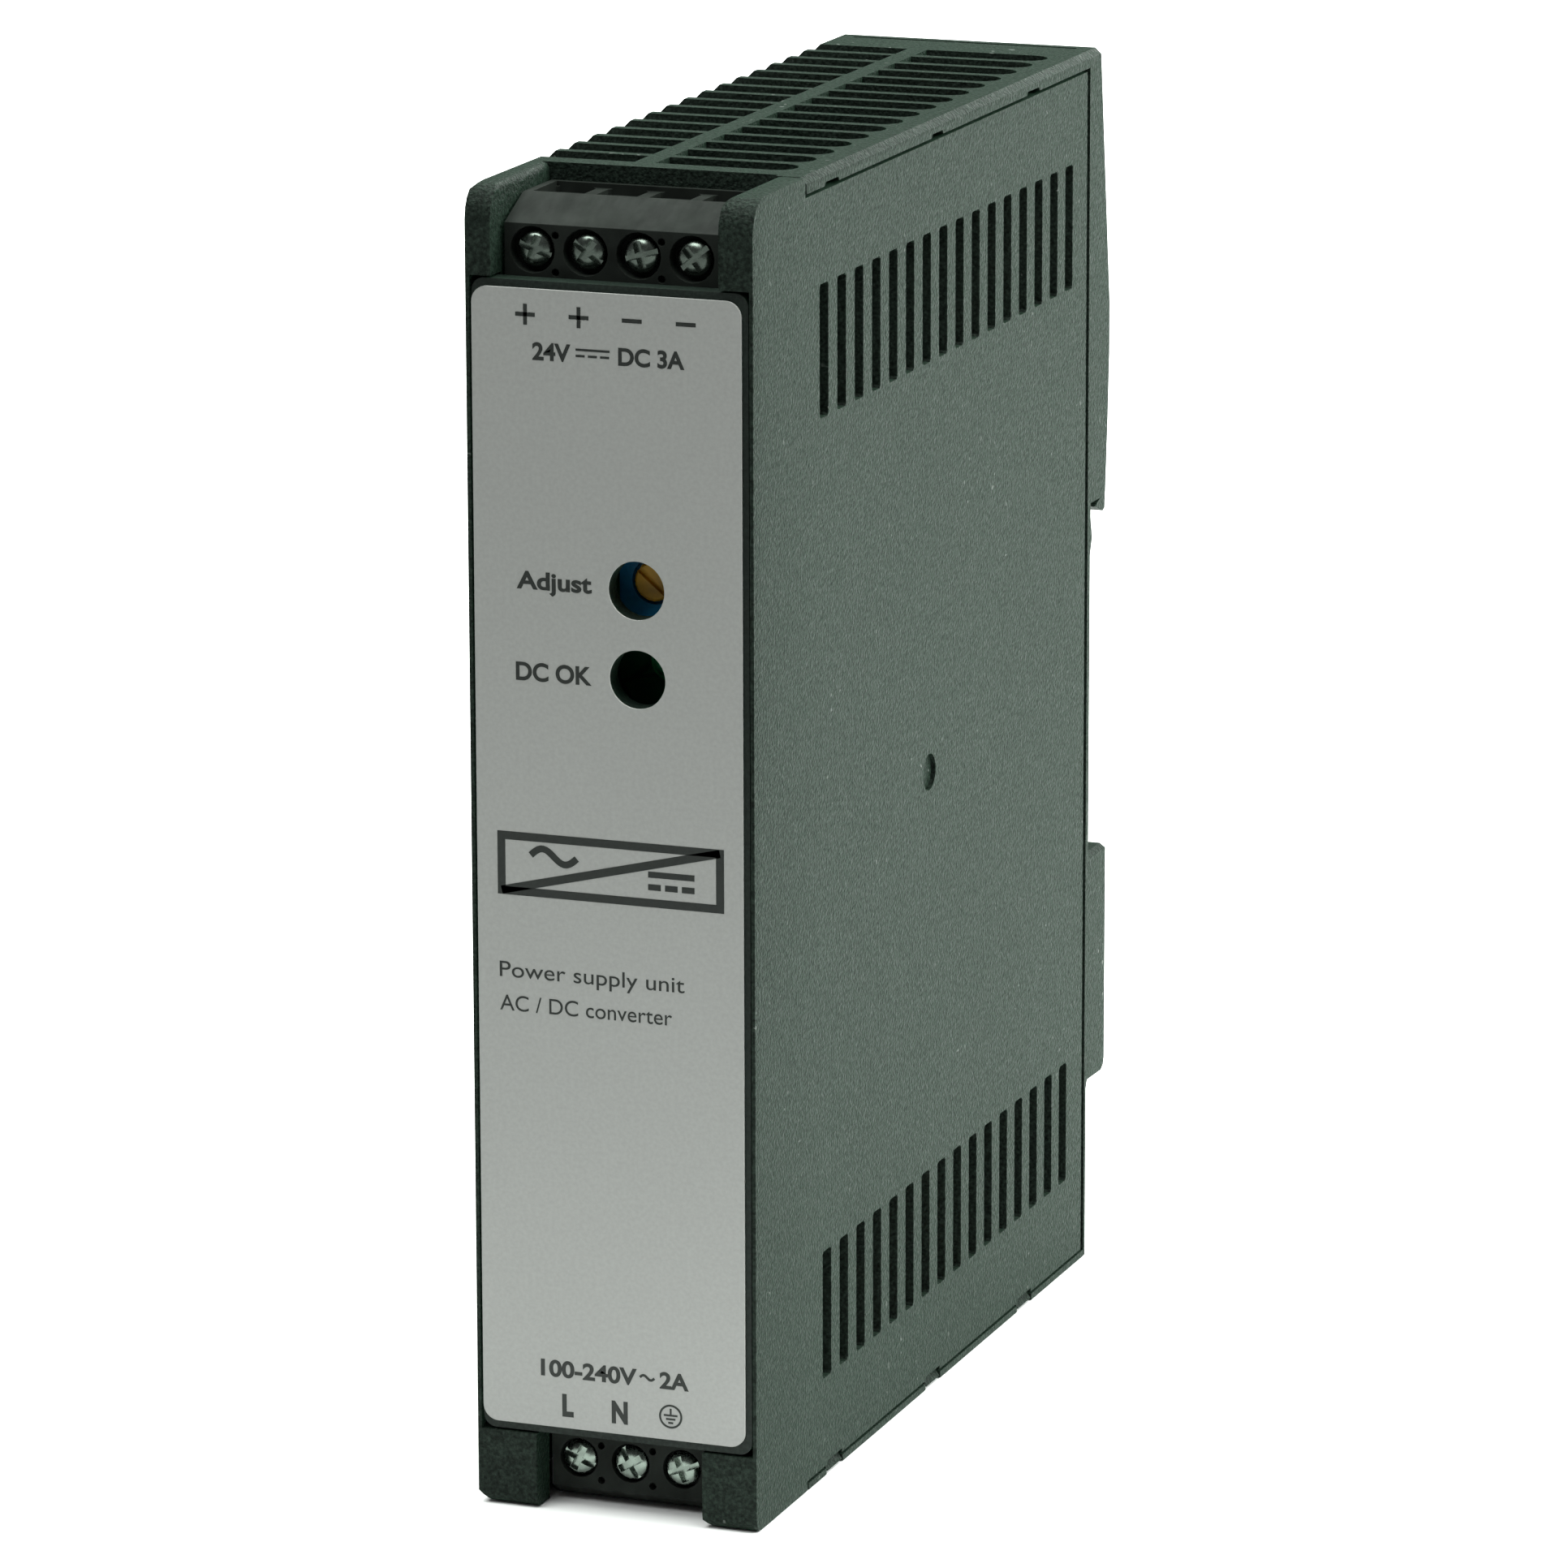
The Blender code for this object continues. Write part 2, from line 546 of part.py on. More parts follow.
for name, poles, screw_z, out, span in (
        ("output_board", OUTPUT_POLES, OUTPUT_SCREW_Z, 1, (100.0, 111.6)),
        ("input_board", INPUT_POLES, INPUT_SCREW_Z, -1, (9.4, 22.0))):
    holes = [circle(x, screw_z - out * 7.05, 1.1, 8) for x in poles]
    board = prism(name, [rounded((-11.2, span[0]), (11.2, span[1]), 0.5, 1)] + holes, "Y", 15.9, 17.5)
    paint(board, BOARD_GREEN, 0.4)

signal_board = box("signal_board", (-3.5, 8.5), (9.1, 10.7), (72.5, 92.0))
paint(signal_board, BOARD_GREEN, 0.4)

# Output voltage trimmer behind the adjust port
pot = box("trim_pot_body", (ADJUST_X - 3.3, ADJUST_X + 3.3), (4.4, 8.8), (ADJUST_Z - 3.4, ADJUST_Z + 3.4))
paint(pot, (0.0, 0.1, 0.28), 0.35)
cut(pot, lathe("pot_recess", [(0, 1), (2.1, 1), (2.1, -0.9), (0, -0.9)],
               world(ADJUST_X, 4.4, ADJUST_Z), FORWARD, 24, True))
rotor = lathe("trim_pot_rotor", [(0, 0.9), (1.6, 0.9), (1.8, 0.7), (1.8, 0), (0, 0)],
              world(ADJUST_X, 5.0, ADJUST_Z), FORWARD, 24)
paint(rotor, (0.5, 0.32, 0.03), 0.4)
rotor_slot = box("rotor_slot", (ADJUST_X - 2.2, ADJUST_X + 2.2), (3.5, 4.6),
                 (ADJUST_Z - 0.3, ADJUST_Z + 0.3), True)
rotor_slot.rotation_euler = (0, math.radians(40), 0)
cut(rotor, rotor_slot)

led = lathe("dc_ok_led", [(0, 1.5), (0.75, 1.3), (1.3, 0.75), (1.5, 0), (1.5, -0.1), (1.9, -0.1),
                          (1.9, -0.7), (0, -0.7)], world(LED_X, 8.1, LED_Z), FORWARD, 20)
paint(led, (0.1, 0.35, 0.12), 0.2)

# ---------------------------------------------------------------- circuit parts
# Every part stands on the main board and reaches towards the side cover

BOARD_FACE = -9.0 + GAP


def standing_box(name, reach, d, z, colour, roughness=0.5, metallic=0.0):
    """Part with its foot on the board; reach is how far it stands up from it."""
    item = box(name, (BOARD_FACE, BOARD_FACE + reach), d, z)
    paint(item, colour, roughness, metallic)
    return item


def lying_can(name, radius, d, low, high, colour):
    """Electrolytic can lying on the board along z, with the groove near its seal."""
    length = high - low
    profile = [(0, length), (radius - 0.5, length), (radius, length - 0.5), (radius, 3.2),
               (radius - 0.5, 2.6), (radius - 0.5, 2.2), (radius, 1.6), (radius, 0.4),
               (radius - 0.4, 0), (0, 0)]
    can = lathe(name, profile, world(BOARD_FACE + radius, d, low), UP, 24)
    paint(can, colour, 0.4)
    return can


# Mains side, at the bottom
standing_box("input_fuse", 7.5, (20.0, 24.5), (24.5, 33.0), (0.02, 0.02, 0.02))
thermistor = lathe("inrush_thermistor", [(0, 3.2), (4.6, 3.2), (5.0, 2.8), (5.0, 0.4), (4.6, 0), (0, 0)],
                   world(BOARD_FACE + 5.2, 59.5, 11.5), REARWARD, 20)
paint(thermistor, (0.02, 0.05, 0.03), 0.4)
standing_box("mains_filter_capacitor", 13.0, (41.5, 47.5), (5.5, 21.5), (0.55, 0.38, 0.03), 0.4)

choke = prism("common_mode_choke", [rounded((21.0, 5.5), (38.0, 21.5), 2.0), rounded((26.5, 10.5),
              (32.5, 16.5), 1.0)], "X", BOARD_FACE, BOARD_FACE + 13.5)
paint(choke, (0.35, 0.12, 0.03), 0.45)
standing_box("bridge_rectifier", 15.0, (67.0, 70.5), (5.5, 20.5), (0.015, 0.015, 0.015))
lying_can("bulk_capacitor", 9.0, 36.0, 26.0, 57.0, (0.02, 0.02, 0.03))

# Primary switch on its heat sink
primary_sink = prism("primary_heat_sink", [[(74.0, 26.0), (86.0, 26.0), (86.0, 28.0), (76.0, 28.0),
                     (76.0, 58.0), (74.0, 58.0)]], "X", BOARD_FACE, BOARD_FACE + 18.0)
paint(primary_sink, (0.6, 0.6, 0.6), 0.4, 1.0)
standing_box("primary_transistor", 15.0, (69.0, 73.7), (36.0, 46.2), (0.015, 0.015, 0.015))
standing_box("controller_chip", 1.8, (80.0, 84.0), (34.0, 39.0), (0.015, 0.015, 0.015))

# Transformer: ferrite frame with a taped winding round its middle leg
CORE_D, CORE_Z = (50.5, 63.5), (61.0, 90.0)
core_mid_z = sum(CORE_Z) / 2
core = prism("transformer_core", [
    rounded((BOARD_FACE, CORE_Z[0]), (BOARD_FACE + 19.0, CORE_Z[1]), 0.5, 1),
    rounded((BOARD_FACE + 4.0, CORE_Z[0] + 3.5), (BOARD_FACE + 15.0, core_mid_z - 3.8), 0.3, 1),
    rounded((BOARD_FACE + 4.0, core_mid_z + 3.8), (BOARD_FACE + 15.0, CORE_Z[1] - 3.5), 0.3, 1)],
    "Y", *CORE_D)
paint(core, (0.03, 0.03, 0.032), 0.6)
winding = prism("transformer_winding", [
    rounded((45.5, core_mid_z - 10.6), (68.5, core_mid_z + 10.6), 3.0),
    rounded((CORE_D[0] - GAP, core_mid_z - 4.1), (CORE_D[1] + GAP, core_mid_z + 4.1), 0.3, 1)],
    "X", BOARD_FACE + 4.4, BOARD_FACE + 14.6)
paint(winding, (0.75, 0.6, 0.08), 0.35)
standing_box("optocoupler", 3.6, (72.5, 77.5), (66.0, 72.0), (0.015, 0.015, 0.015))

# Output side, at the top
secondary_sink = prism("secondary_heat_sink", [[(74.0, 78.0), (76.0, 78.0), (76.0, 108.0), (86.0, 108.0),
                       (86.0, 110.0), (74.0, 110.0)]], "X", BOARD_FACE, BOARD_FACE + 18.0)
paint(secondary_sink, (0.6, 0.6, 0.6), 0.4, 1.0)
standing_box("output_rectifier", 15.0, (69.0, 73.7), (93.0, 103.2), (0.015, 0.015, 0.015))
for number, d in enumerate((26.0, 38.5), 1):
    lying_can(f"output_capacitor_{number}", 5.0, d, 76.0, 97.0, (0.02, 0.03, 0.06))

choke_centre = world(BOARD_FACE + 0.4, 56.0, 104.0)
inductor = lathe("output_inductor", [(3.2, 6.5), (8.0, 6.5), (8.8, 5.6), (8.8, 1.2), (8.0, 0.3),
                                     (3.2, 0.3), (2.4, 1.2), (2.4, 5.6), (3.2, 6.5)],
                 choke_centre, Vector((1, 0, 0)), 24)
paint(inductor, (0.45, 0.2, 0.05), 0.35, 0.6)

for item in PARTS.objects:
    item.data.shade_flat()
    if any(step.type == "SCREW" for step in item.modifiers) or item.name == "latch_spring":
        item.data.shade_smooth()
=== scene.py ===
"""Looks of the DIN rail power supply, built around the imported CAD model."""
import json
import math

import bmesh
import bpy
from mathutils import Matrix, Vector


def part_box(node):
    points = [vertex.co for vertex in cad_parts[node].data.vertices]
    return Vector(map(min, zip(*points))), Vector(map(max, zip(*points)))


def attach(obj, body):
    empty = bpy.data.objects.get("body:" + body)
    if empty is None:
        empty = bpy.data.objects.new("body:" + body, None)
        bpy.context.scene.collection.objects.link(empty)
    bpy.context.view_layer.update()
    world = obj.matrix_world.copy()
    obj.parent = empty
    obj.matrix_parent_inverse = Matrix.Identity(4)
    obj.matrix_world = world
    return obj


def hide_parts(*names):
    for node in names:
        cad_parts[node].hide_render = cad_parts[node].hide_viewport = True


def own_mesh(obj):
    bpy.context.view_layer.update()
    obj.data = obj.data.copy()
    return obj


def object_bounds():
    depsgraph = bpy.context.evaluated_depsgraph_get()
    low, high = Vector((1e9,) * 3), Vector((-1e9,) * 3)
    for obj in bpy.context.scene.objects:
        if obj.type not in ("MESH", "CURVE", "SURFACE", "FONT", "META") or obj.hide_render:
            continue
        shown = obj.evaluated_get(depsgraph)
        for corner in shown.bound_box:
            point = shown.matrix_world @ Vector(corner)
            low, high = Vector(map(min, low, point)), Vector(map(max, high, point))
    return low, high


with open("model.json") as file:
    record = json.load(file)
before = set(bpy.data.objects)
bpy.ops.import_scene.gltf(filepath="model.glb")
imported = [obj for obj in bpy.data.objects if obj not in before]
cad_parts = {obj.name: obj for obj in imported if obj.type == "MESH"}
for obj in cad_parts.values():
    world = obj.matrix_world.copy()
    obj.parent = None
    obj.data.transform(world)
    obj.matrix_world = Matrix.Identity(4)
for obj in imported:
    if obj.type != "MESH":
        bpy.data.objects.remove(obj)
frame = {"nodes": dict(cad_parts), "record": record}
cad_box = [[float(v) for v in corner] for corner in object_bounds()]
nodes = frame["nodes"]
MM = 0.001
FRONT_Y = cad_box[0][1]
BODY_OF = {name: body for body, members in frame["record"]["behaviour"]["bodies"].items() for name in members}
SLOT_OF = {part["node"]: part["material_slot"] for part in frame["record"]["subparts"]}


# ---------------------------------------------------------------- shape helpers

def link(name, mesh, body, slot, *replaced):
    """A finished piece that rides on a body and may stand for CAD nodes."""
    piece = bpy.data.objects.new(name, mesh)
    bpy.context.scene.collection.objects.link(piece)
    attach(piece, body)
    if replaced:
        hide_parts(*replaced)
    return piece


def filled(outlines, depth):
    """Mesh of filled outlines in x and z, in millimetres, from y = 0 back to depth."""
    curve = bpy.data.curves.new("outline", "CURVE")
    curve.dimensions = "2D"
    curve.fill_mode = "BOTH"
    curve.extrude = depth / 2 * MM
    for outline in outlines:
        spline = curve.splines.new("POLY")
        spline.points.add(len(outline) - 1)
        spline.use_cyclic_u = True
        for point, (x, z) in zip(spline.points, outline):
            point.co = (x * MM, z * MM, 0.0, 1.0)
    return solid_from(curve, depth)


def solid_from(curve, depth):
    """Mesh of a flat curve or text, stood up to face -Y with its front at y = 0."""
    holder = bpy.data.objects.new("holder", curve)
    bpy.context.scene.collection.objects.link(holder)
    graph = bpy.context.evaluated_depsgraph_get()
    mesh = bpy.data.meshes.new_from_object(holder.evaluated_get(graph))
    bpy.data.objects.remove(holder, do_unlink=True)
    shape = bmesh.new()
    shape.from_mesh(mesh)
    bmesh.ops.remove_doubles(shape, verts=shape.verts, dist=1e-7)
    bmesh.ops.dissolve_limit(shape, angle_limit=0.002, verts=shape.verts, edges=shape.edges)
    stand = Matrix.Translation((0, depth / 2 * MM, 0)) @ Matrix.Rotation(math.radians(90), 4, "X")
    bmesh.ops.transform(shape, matrix=stand, verts=shape.verts)
    bmesh.ops.recalc_face_normals(shape, faces=shape.faces)
    shape.to_mesh(mesh)
    shape.free()
    return mesh


def circle(cx, cz, radius, steps=64):
    return [(cx + radius * math.cos(2 * math.pi * i / steps),
             cz + radius * math.sin(2 * math.pi * i / steps)) for i in range(steps)]


def rounded(x, z, radius, steps=8):
    points = []
    corners = [(x[1] - radius, z[0] + radius, -90), (x[1] - radius, z[1] - radius, 0),
               (x[0] + radius, z[1] - radius, 90), (x[0] + radius, z[0] + radius, 180)]
    for cx, cz, start in corners:
        for i in range(steps + 1):
            angle = math.radians(start + 90 * i / steps)
            points.append((cx + radius * math.cos(angle), cz + radius * math.sin(angle)))
    return points


def refined(name):
    """Clean copy of a CAD node's shape, with its flat faces whole again, standing for that node."""
    mesh = bpy.data.meshes.new(name + "_fine")
    shape = bmesh.new()
    shape.from_mesh(nodes[name].data)
    bmesh.ops.remove_doubles(shape, verts=shape.verts, dist=2e-6)
    bmesh.ops.dissolve_limit(shape, angle_limit=math.radians(0.5), verts=shape.verts, edges=shape.edges)
    bmesh.ops.recalc_face_normals(shape, faces=shape.faces)
    shape.to_mesh(mesh)
    shape.free()
    for layer in ("custom_normal", "sharp_face", "sharp_edge"):
        if layer in mesh.attributes:
            mesh.attributes.remove(mesh.attributes[layer])
    return link(name + "_fine", mesh, BODY_OF[name], SLOT_OF[name], name)


def ease_edges(item, width, segments=2, angle=35, bold=None):
    """Rounds an object's sharp edges; bold is a larger width and a test of the edge middles it is for."""
    limit = math.radians(angle)
    if bold:
        shape = bmesh.new()
        shape.from_mesh(item.data)
        weight = shape.edges.layers.float.new("bevel_weight_edge")
        for edge in shape.edges:
            middle = (edge.verts[0].co + edge.verts[1].co) / 2
            if edge.is_convex and edge.calc_face_angle(0.0) > limit and bold[1](middle):
                edge[weight] = 1.0
        shape.to_mesh(item.data)
        shape.free()
        wide = item.modifiers.new("wide_bevel", "BEVEL")
        wide.width = bold[0] * MM
        wide.segments = 4
        wide.limit_method = "WEIGHT"
    bevel = item.modifiers.new("bevel", "BEVEL")
    bevel.width = width * MM
    bevel.segments = segments
    bevel.limit_method = "ANGLE"
    bevel.angle_limit = limit
    bevel.harden_normals = True
    item.data.shade_smooth()


# ---------------------------------------------------------------- materials

def new_material(name):
    material = bpy.data.materials.new(name)
    material.use_nodes = True
    tree = material.node_tree
    return material, tree, tree.nodes["Principled BSDF"]


def node(tree, kind, **settings):
    made = tree.nodes.new(kind)
    for key, value in settings.items():
        setattr(made, key, value)
    return made


def place_of(tree):
    return node(tree, "ShaderNodeTexCoord").outputs["Object"]


def noise(tree, scale, detail=2.0, stretch=None):
    """Noise of a given number of grains per metre."""
    texture = node(tree, "ShaderNodeTexNoise")
    texture.inputs["Scale"].default_value = scale
    texture.inputs["Detail"].default_value = detail
    source = place_of(tree)
    if stretch:
        mapping = node(tree, "ShaderNodeMapping")
        mapping.inputs["Scale"].default_value = stretch
        tree.links.new(source, mapping.inputs["Vector"])
        source = mapping.outputs["Vector"]
    tree.links.new(source, texture.inputs["Vector"])
    return texture.outputs["Fac"]


def ramp(tree, factor, *stops):
    made = node(tree, "ShaderNodeValToRGB")
    elements = made.color_ramp.elements
    while len(elements) < len(stops):
        elements.new(0.5)
    for element, (position, colour) in zip(elements, stops):
        element.position = position
        element.color = (*colour, 1.0) if isinstance(colour, tuple) else (colour, colour, colour, 1.0)
    tree.links.new(factor, made.inputs["Fac"])
    return made.outputs["Color"]


def blend_colours(tree, factor, first, second):
    mix = node(tree, "ShaderNodeMix", data_type="RGBA")
    tree.links.new(factor, mix.inputs["Factor"])
    tree.links.new(first, mix.inputs["A"])
    if isinstance(second, tuple):
        mix.inputs["B"].default_value = (*second, 1.0)
    else:
        tree.links.new(second, mix.inputs["B"])
    return mix.outputs["Result"]


def bump(tree, shader, height, distance, strength=1.0):
    made = node(tree, "ShaderNodeBump")
    made.inputs["Distance"].default_value = distance
    made.inputs["Strength"].default_value = strength
    tree.links.new(height, made.inputs["Height"])
    if shader.inputs["Normal"].links:
        tree.links.new(shader.inputs["Normal"].links[0].from_socket, made.inputs["Normal"])
    tree.links.new(made.outputs["Normal"], shader.inputs["Normal"])


def shade(colour, amount):
    return tuple(max(0.0, c * amount) for c in colour)


SHEEN_TINT = (0.25, 1.0, 0.5, 1.0)
DUST_COLOUR = (0.35, 0.37, 0.35)


def grained_plastic(name, colour, grain=3200, spread=0.35, depth=0.00005, rough=(0.42, 0.62),
                    specular=0.5, dust=0.0, sheen=0.0):
    """Moulded plastic with a spark-eroded grain, cloudy tone changes, a little dust and a green sheen."""
    material, tree, shader = new_material(name)
    fine = noise(tree, grain, 3.0)
    tone = ramp(tree, fine, (0.3, shade(colour, 1 - spread)), (0.5, colour),
                (0.72, shade(colour, 1 + 1.6 * spread)))
    cloud = ramp(tree, noise(tree, 38, 3.0), (0.3, 0.86), (0.7, 1.0))
    toned = node(tree, "ShaderNodeMix", data_type="RGBA", blend_type="MULTIPLY")
    toned.inputs["Factor"].default_value = 1.0
    tree.links.new(tone, toned.inputs["A"])
    tree.links.new(cloud, toned.inputs["B"])
    result = toned.outputs["Result"]
    if dust:
        specks = ramp(tree, noise(tree, 1500, 0.0), (0.80, 0.0), (0.84, 1.0))
        patches = ramp(tree, noise(tree, 90, 1.0), (0.45, 0.0), (0.75, dust))
        both = node(tree, "ShaderNodeMath", operation="MULTIPLY")
        tree.links.new(specks, both.inputs[0])
        tree.links.new(patches, both.inputs[1])
        result = blend_colours(tree, both.outputs[0], result, DUST_COLOUR)
    tree.links.new(result, shader.inputs["Base Color"])
    gloss = ramp(tree, noise(tree, grain * 0.7, 2.0), (0.3, rough[0]), (0.7, rough[1]))
    tree.links.new(gloss, shader.inputs["Roughness"])
    shader.inputs["Specular IOR Level"].default_value = specular
    shader.inputs["Sheen Weight"].default_value = sheen
    shader.inputs["Sheen Roughness"].default_value = 0.45
    shader.inputs["Sheen Tint"].default_value = SHEEN_TINT
    bump(tree, shader, fine, depth, 0.9)
    return material


def smooth_plastic(name, colour, rough=(0.28, 0.45), specular=0.5, scratches=True):
    """Glossier moulded plastic with faint scuffs."""
    material, tree, shader = new_material(name)
    tone = ramp(tree, noise(tree, 420, 4.0), (0.3, shade(colour, 0.75)), (0.7, shade(colour, 1.3)))
    tree.links.new(tone, shader.inputs["Base Color"])
    scuff = noise(tree, 900, 4.0, (1.0, 0.35, 0.12)) if scratches else noise(tree, 900, 3.0)
    tree.links.new(ramp(tree, scuff, (0.35, rough[0]), (0.65, rough[1])), shader.inputs["Roughness"])
    shader.inputs["Specular IOR Level"].default_value = specular
    bump(tree, shader, scuff, 0.000012, 0.6)
    return material


def plated_metal(name, colour, rough=(0.16, 0.34), brush=(1.0, 1.0, 1.0)):
    """Plated steel or brass: mottled plating with fine tool marks."""
    material, tree, shader = new_material(name)
    mottle = noise(tree, 1300, 4.0)
    tone = ramp(tree, mottle, (0.3, shade(colour, 0.75)), (0.55, colour), (0.75, shade(colour, 1.12)))
    tree.links.new(tone, shader.inputs["Base Color"])
    marks = noise(tree, 2600, 3.0, brush)
    tree.links.new(ramp(tree, marks, (0.3, rough[0]), (0.7, rough[1])), shader.inputs["Roughness"])
    shader.inputs["Metallic"].default_value = 1.0
    bump(tree, shader, marks, 0.00002, 0.5)
    return material


def board_laminate(name):
    """Green solder resist with the weave and the copper areas showing faintly through."""
    material, tree, shader = new_material(name)
    weave = node(tree, "ShaderNodeTexVoronoi", feature="DISTANCE_TO_EDGE")
    weave.inputs["Scale"].default_value = 260
    tree.links.new(place_of(tree), weave.inputs["Vector"])
    copper = ramp(tree, weave.outputs["Distance"], (0.02, (0.004, 0.05, 0.02)), (0.08, (0.01, 0.11, 0.04)))
    tint = ramp(tree, noise(tree, 500, 2.0), (0.3, 0.8), (0.7, 1.0))
    mixed = node(tree, "ShaderNodeMix", data_type="RGBA", blend_type="MULTIPLY")
    mixed.inputs["Factor"].default_value = 1.0
    tree.links.new(copper, mixed.inputs["A"])
    tree.links.new(tint, mixed.inputs["B"])
    tree.links.new(mixed.outputs["Result"], shader.inputs["Base Color"])
    shader.inputs["Roughness"].default_value = 0.35
    bump(tree, shader, weave.outputs["Distance"], 0.00003, 0.5)
    return material


def wound(name, colour, turns_per_metre, axis):
    """Enamelled wire or tape wound in turns across one axis, with painted shade in the grooves between turns
    and a painted highlight on their crests.
    """
    material, tree, shader = new_material(name)
    wave = node(tree, "ShaderNodeTexWave", bands_direction=axis)
    wave.inputs["Scale"].default_value = turns_per_metre
    wave.inputs["Distortion"].default_value = 0.4
    tree.links.new(place_of(tree), wave.inputs["Vector"])
    # Painted shade and highlight: the bands go dark towards the grooves between turns and lighter on the
    # crests; the bump below gives the turns their relief.
    tone = ramp(tree, wave.outputs["Fac"], (0.0, shade(colour, 0.35)), (0.6, colour),
                (1.0, shade(colour, 1.3)))
    tree.links.new(tone, shader.inputs["Base Color"])
    shader.inputs["Roughness"].default_value = 0.32
    bump(tree, shader, wave.outputs["Fac"], 0.00012, 0.8)
    return material


def printed_film(name, colour, spread=0.05, rough=(0.38, 0.5)):
    """Satin polyester label with a very fine texture."""
    material, tree, shader = new_material(name)
    fine = noise(tree, 2600, 2.0)
    cloud = noise(tree, 30, 2.0)
    tone = ramp(tree, fine, (0.3, shade(colour, 1 - spread)), (0.7, shade(colour, 1 + spread)))
    wash = ramp(tree, cloud, (0.3, 0.965), (0.7, 1.0))
    mixed = node(tree, "ShaderNodeMix", data_type="RGBA", blend_type="MULTIPLY")
    mixed.inputs["Factor"].default_value = 1.0
    tree.links.new(tone, mixed.inputs["A"])
    tree.links.new(wash, mixed.inputs["B"])
    tree.links.new(mixed.outputs["Result"], shader.inputs["Base Color"])
    tree.links.new(ramp(tree, fine, (0.3, rough[0]), (0.7, rough[1])), shader.inputs["Roughness"])
    shader.inputs["Specular IOR Level"].default_value = 0.35
    bump(tree, shader, fine, 0.000008, 0.5)
    return material


CASE_COLOUR = (0.011, 0.0165, 0.013)
MATERIALS = {
    "case": grained_plastic("case_grain", CASE_COLOUR, spread=0.6, depth=0.0002, specular=0.06,
                           dust=0.4, sheen=0.034),
    "cover": grained_plastic("front_cover_grain", (0.010, 0.0145, 0.012), grain=2800, spread=0.3,
                             specular=0.16, sheen=0.04),
    "terminal": smooth_plastic("terminal_black", (0.013, 0.0155, 0.0135), (0.5, 0.65), specular=0.04),
    "latch": smooth_plastic("latch_black", (0.018, 0.018, 0.019)),
    "label": printed_film("label_satin", (0.288, 0.293, 0.283)),
    "label_edge": printed_film("label_edge_white", (0.62, 0.63, 0.61)),
    "print": printed_film("print_black", (0.011, 0.014, 0.012), 0.2, (0.5, 0.6)),
    "screw": plated_metal("screw_zinc", (0.20, 0.24, 0.21), (0.2, 0.3)),
    "clamp": plated_metal("clamp_nickel", (0.50, 0.48, 0.43), (0.25, 0.45)),
    "contact": plated_metal("contact_tin", (0.55, 0.52, 0.44), (0.2, 0.4)),
    "spring": plated_metal("spring_steel", (0.45, 0.45, 0.46), (0.15, 0.3)),
    "sink": plated_metal("heat_sink_aluminium", (0.62, 0.63, 0.64), (0.3, 0.5), (1.0, 0.05, 1.0)),
    "board": board_laminate("board_green"),
    "film": printed_film("insulation_film", (0.55, 0.55, 0.5)),
    "pot": smooth_plastic("trimmer_blue", (0.006, 0.13, 0.27), (0.3, 0.45)),
    "rotor": smooth_plastic("trimmer_yellow", (0.62, 0.34, 0.02), (0.35, 0.5)),
    "lens": smooth_plastic("lens_green", (0.02, 0.22, 0.08), (0.08, 0.16)),
    "epoxy": smooth_plastic("epoxy_black", (0.012, 0.012, 0.013), (0.4, 0.6)),
    "film_capacitor": smooth_plastic("capacitor_yellow", (0.55, 0.33, 0.02), (0.3, 0.45)),
    "sleeve": smooth_plastic("sleeve_blue_black", (0.012, 0.016, 0.035), (0.25, 0.4)),
    "ferrite": grained_plastic("ferrite_grey", (0.03, 0.03, 0.032), grain=2200, spread=0.25),
    "copper": wound("copper_winding", (0.42, 0.13, 0.03), 340, "Z"),
    "tape": wound("yellow_tape", (0.72, 0.52, 0.05), 90, "Z"),
}


def node_material(name):
    """The material of a CAD node that is shown as it is."""
    fixed = {"main_housing": "case", "side_cover": "case", "rail_latch": "latch", "insulation_film": "film",
             "trim_pot_body": "pot", "trim_pot_rotor": "rotor", "dc_ok_led": "lens",
             "mains_filter_capacitor": "film_capacitor", "transformer_core": "ferrite",
             "transformer_winding": "tape", "common_mode_choke": "copper", "output_inductor": "copper"}
    endings = {"_heat_sink": "sink", "_board": "board", "_terminal_housing": "terminal"}
    middles = {"_screw_": "screw", "_clamp_": "clamp", "_contact_": "contact", "capacitor": "sleeve"}
    if name in fixed:
        return fixed[name]
    for ending, key in endings.items():
        if name.endswith(ending):
            return key
    for middle, key in middles.items():
        if middle in name:
            return key
    return "epoxy"


for name, item in nodes.items():
    item.data.materials.clear()
    item.data.materials.append(MATERIALS[node_material(name)])

# Edge radii in millimetres; the ears and feet of the case and of the side cover are rounder
EAR_DEPTH, FOOT_TOP, EAR_BOTTOM = 14.2, 8.0, 112.5
EAR_EDGE = 0.5
EDGE_WIDTH = {"main_housing": 0.1, "side_cover": 0.2, "output_terminal_housing": 0.1,
              "input_terminal_housing": 0.1, "rail_latch": 0.25}
EDGE_WIDTH.update({name: 0.09 for name in nodes if "_screw_" in name})


def on_ear_or_foot(point):
    """True in front of the terminal recesses' rear wall, above or below the front cover."""
    return point.y < FRONT_Y + EAR_DEPTH * MM and not FOOT_TOP * MM < point.z < EAR_BOTTOM * MM


for name, width in EDGE_WIDTH.items():
    piece = refined(name)
    piece.data.materials.append(MATERIALS[node_material(name)])
    if name in ("main_housing", "side_cover"):
        ease_edges(piece, width, bold=(EAR_EDGE, on_ear_or_foot))
    else:
        ease_edges(piece, width)

# ---------------------------------------------------------------- front cover and label

ADJUST = (2.45, 85.75)
INDICATOR = (2.5, 77.75)
PORT_RADIUS = 2.65


def shifted(mesh, d):
    """Moves a mesh so that its front lies d millimetres behind the front plane."""
    mesh.transform(Matrix.Translation((0, FRONT_Y + d * MM, 0)))
    return mesh


